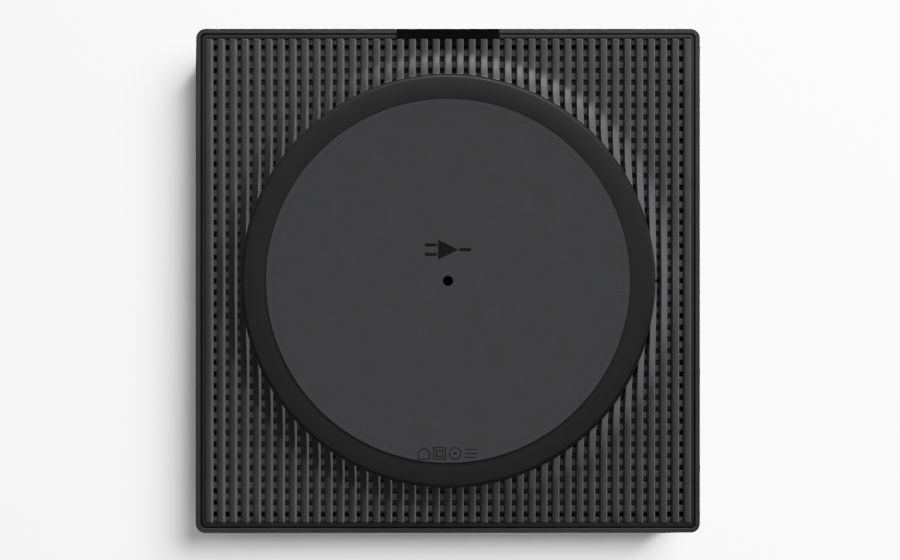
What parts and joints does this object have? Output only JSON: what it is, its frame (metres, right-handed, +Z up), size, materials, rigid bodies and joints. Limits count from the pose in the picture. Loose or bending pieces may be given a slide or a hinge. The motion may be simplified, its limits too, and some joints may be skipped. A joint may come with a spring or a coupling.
{
  "type": "integrated amplifier",
  "caption": "Low square amplifier case on a round foot, with a ribbed vented underside, a dished top, a front touch window and a recessed rear socket panel.",
  "frame": {"origin": "on the surface that the foot stands on, under the centre of the square case", "axes": "+Z up; the front, with the touch window, faces -Y; the rear sockets face +Y; +X is to the right seen from the front"},
  "size_m": [0.217, 0.217, 0.064],
  "materials": {
    "case_plastic": "matte",
    "grille_plastic": "matte",
    "screen_plastic": "matte",
    "foot_plastic": "matte",
    "rubber": "matte",
    "gloss_black": "gloss",
    "black_plastic": "satin",
    "white_plastic": "satin",
    "black_steel": "satin",
    "plain_steel": "satin",
    "aluminium": "satin",
    "board": "satin",
    "capacitor_sleeve": "satin",
    "copper_wire": "gloss",
    "ferrite": "matte",
    "ceramic_white": "satin",
    "thermal_grey": "matte",
    "clear_acrylic": "clear",
    "terminal_red": "satin",
    "flex_film": "satin",
    "cable_black": "matte"
  },
  "bodies": {
    "case": {"amplifier_chip_left": "black_plastic", "amplifier_chip_right": "black_plastic", "antenna_lead_left": "cable_black", "antenna_lead_right": "cable_black", "antenna_left": "board", "antenna_right": "board", "bottom_grille": "grille_plastic", "bulk_capacitor_left": "capacitor_sleeve", "bulk_capacitor_right": "capacitor_sleeve", "button_switch": "board", "case_screw_1": "black_steel", "case_screw_2": "black_steel", "case_screw_3": "black_steel", "case_screw_4": "black_steel", "chassis_plate": "plain_steel", "emi_choke": "copper_wire", "foot_base": "foot_plastic", "foot_pad": "rubber", "foot_screw": "black_steel", "hdmi_socket": "plain_steel", "heatsink": "aluminium", "inlet_pin_left": "plain_steel", "inlet_pin_right": "plain_steel", "line_in_left": "white_plastic", "line_in_right": "terminal_red", "main_board": "board", "mains_fuse": "ceramic_white", "network_jack_a": "plain_steel", "network_jack_b": "plain_steel", "output_inductor_1": "ferrite", "output_inductor_2": "ferrite", "output_inductor_3": "ferrite", "output_inductor_4": "ferrite", "power_board": "board", "power_harness": "cable_black", "power_heatsink": "aluminium", "power_inlet": "black_plastic", "radio_card": "board", "rear_panel": "case_plastic", "shield_can": "plain_steel", "speaker_socket_left": "black_plastic", "speaker_socket_right": "black_plastic", "status_light_guide": "clear_acrylic", "sub_out": "black_plastic", "thermal_pad": "thermal_grey", "top_cover": "case_plastic", "touch_board": "board", "touch_carrier": "black_plastic", "touch_flex": "flex_film", "touch_window": "gloss_black", "transformer": "ferrite", "vent_screen": "screen_plastic"},
    "connect_button": {"connect_button": "black_plastic"},
    "speaker_plug_left": {"speaker_plug_left": "black_plastic"},
    "speaker_plug_right": {"speaker_plug_right": "black_plastic"},
    "terminal_cap_left_minus": {"terminal_cap_left_minus": "black_plastic"},
    "terminal_cap_left_plus": {"terminal_cap_left_plus": "terminal_red"},
    "terminal_cap_right_minus": {"terminal_cap_right_minus": "black_plastic"},
    "terminal_cap_right_plus": {"terminal_cap_right_plus": "terminal_red"}
  },
  "joints": [
    {"name": "connect_press", "type": "slide", "parent": "case", "child": "connect_button", "axis": [0, -1, 0], "range_m": [0, 0.0007], "stiffness_N_per_m": 600},
    {"name": "plug_right_pull", "type": "slide", "parent": "case", "child": "speaker_plug_right", "axis": [0, 1, 0], "range_m": [0, 0.02]},
    {"name": "cap_right_minus_turn", "type": "hinge", "parent": "speaker_plug_right", "child": "terminal_cap_right_minus", "pos_m": [-0.0377, 0.1036, 0.0401], "axis": [0, 1, 0], "range_deg": [0, 990]},
    {"name": "cap_right_plus_turn", "type": "hinge", "parent": "speaker_plug_right", "child": "terminal_cap_right_plus", "pos_m": [-0.0243, 0.1036, 0.0401], "axis": [0, 1, 0], "range_deg": [0, 990]},
    {"name": "plug_left_pull", "type": "slide", "parent": "case", "child": "speaker_plug_left", "axis": [0, 1, 0], "range_m": [0, 0.02]},
    {"name": "cap_left_minus_turn", "type": "hinge", "parent": "speaker_plug_left", "child": "terminal_cap_left_minus", "pos_m": [-0.0087, 0.1036, 0.0401], "axis": [0, 1, 0], "range_deg": [0, 990]},
    {"name": "cap_left_plus_turn", "type": "hinge", "parent": "speaker_plug_left", "child": "terminal_cap_left_plus", "pos_m": [0.0047, 0.1036, 0.0401], "axis": [0, 1, 0], "range_deg": [0, 990]}
  ]
}
